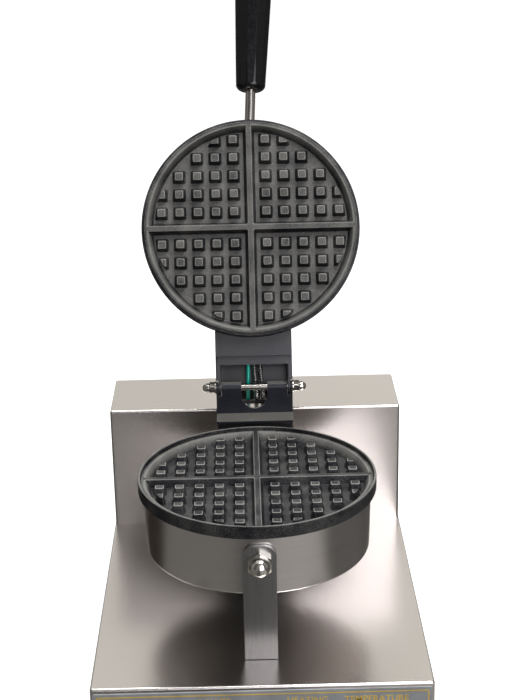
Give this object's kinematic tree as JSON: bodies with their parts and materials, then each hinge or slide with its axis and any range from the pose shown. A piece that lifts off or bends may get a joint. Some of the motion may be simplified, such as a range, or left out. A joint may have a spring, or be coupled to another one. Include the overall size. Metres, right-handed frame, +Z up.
{
  "type": "waffle maker",
  "caption": "Commercial round waffle baker with a hinged lid, deep square grid plates in four quarters, side handle and a stainless steel control cabinet.",
  "frame": {"origin": "on the table under the middle of the whole part, lid open", "axes": "+Z up, +Y to the hinge and the back, +X to the right seen from the front"},
  "size_m": [0.2648, 0.471, 0.574],
  "materials": {
    "stainless": "brushed left to right, folded sheet",
    "drum_steel": "fine brushed round the drum",
    "bracket_steel": "brushed flat bar",
    "foot_rubber": "matt moulded",
    "panel_overlay": "printed dark grey overlay with yellow lines",
    "black_plastic": "moulded",
    "rocker_red": "translucent moulded",
    "inner_plastic": "moulded",
    "knob_plastic": "moulded with a white pointer",
    "zinc": "zinc plated",
    "lens_green": "clear moulded lens",
    "lens_red": "clear moulded lens",
    "bright_nut": "polished stainless",
    "nonstick": "black non-stick coat on a cast plate, fine grain",
    "element_steel": "heat-darkened sheath",
    "mineral_wool": "fibre board",
    "black_steel": "semi-gloss black powder coat",
    "rod_steel": "drawn bar, slightly heat tinted",
    "bakelite": "moulded, faceted",
    "earth_green": "silicone insulation",
    "lead_sleeve": "black lead in a spiral metal guard"
  },
  "bodies": {
    "base": {"base_housing": "stainless", "bottom_plate": "stainless", "cable_gland": "black_plastic", "control_panel": "panel_overlay", "control_screws": "zinc", "cover_screws": "bright_nut", "drum_link": "black_steel", "earth_wire": "earth_green", "foot_screws": "zinc", "frame_screws": "zinc", "front_acorn_nut": "bright_nut", "front_bracket": "bracket_steel", "front_inner_nut": "zinc", "front_stud": "zinc", "gland_nut": "black_plastic", "heat_lamp": "lens_red", "heater_leads": "lead_sleeve", "hinge_bracket": "black_steel", "hinge_nuts": "bright_nut", "hinge_pedestal": "black_steel", "hinge_pin": "bright_nut", "hinge_washers": "bright_nut", "lower_clamp_plate": "zinc", "lower_clamp_screws": "zinc", "lower_drum": "drum_steel", "lower_element": "element_steel", "lower_insulation": "mineral_wool", "lower_plate": "nonstick", "lower_tie_bolt": "zinc", "power_lamp": "lens_green", "rear_cover": "stainless", "rear_housing": "stainless", "rubber_feet": "foot_rubber", "side_screws": "bright_nut", "switch_frame": "black_plastic", "terminal_block": "inner_plastic", "thermostat_body": "inner_plastic", "timer_body": "inner_plastic", "wire_grommet": "foot_rubber"},
    "lid": {"lid_arm": "black_steel", "arm_front_plate": "black_steel", "upper_drum": "drum_steel", "upper_plate": "nonstick", "upper_element": "element_steel", "upper_clamp_plate": "zinc", "upper_clamp_screws": "zinc", "upper_insulation": "mineral_wool", "upper_tie_bolt": "bright_nut", "arm_screws": "zinc", "handle_rod": "rod_steel", "handle_nuts": "zinc", "handle_grip": "bakelite"},
    "timer_dial": {"timer_knob": "knob_plastic", "timer_shaft": "zinc"},
    "thermostat_dial": {"thermostat_knob": "knob_plastic", "thermostat_shaft": "zinc"},
    "rocker": {"switch_rocker": "rocker_red"}
  },
  "joints": [
    {"name": "lid_hinge", "type": "hinge", "parent": "base", "child": "lid", "pos_m": [0, 0.0559, 0.2264], "axis": [1, 0, 0], "range_deg": [0, 114.5], "deforming": ["earth_wire", "heater_leads"]},
    {"name": "timer_turn", "type": "hinge", "parent": "base", "child": "timer_dial", "pos_m": [-0.086, -0.2235, 0.047], "axis": [0, 1, 0], "range_deg": [0, 300]},
    {"name": "thermostat_turn", "type": "hinge", "parent": "base", "child": "thermostat_dial", "pos_m": [0.086, -0.2235, 0.047], "axis": [0, 1, 0], "range_deg": [0, 300]},
    {"name": "rocker_tilt", "type": "hinge", "parent": "base", "child": "rocker", "pos_m": [0, -0.211, 0.047], "axis": [-1, 0, 0], "range_deg": [0, 22]}
  ]
}
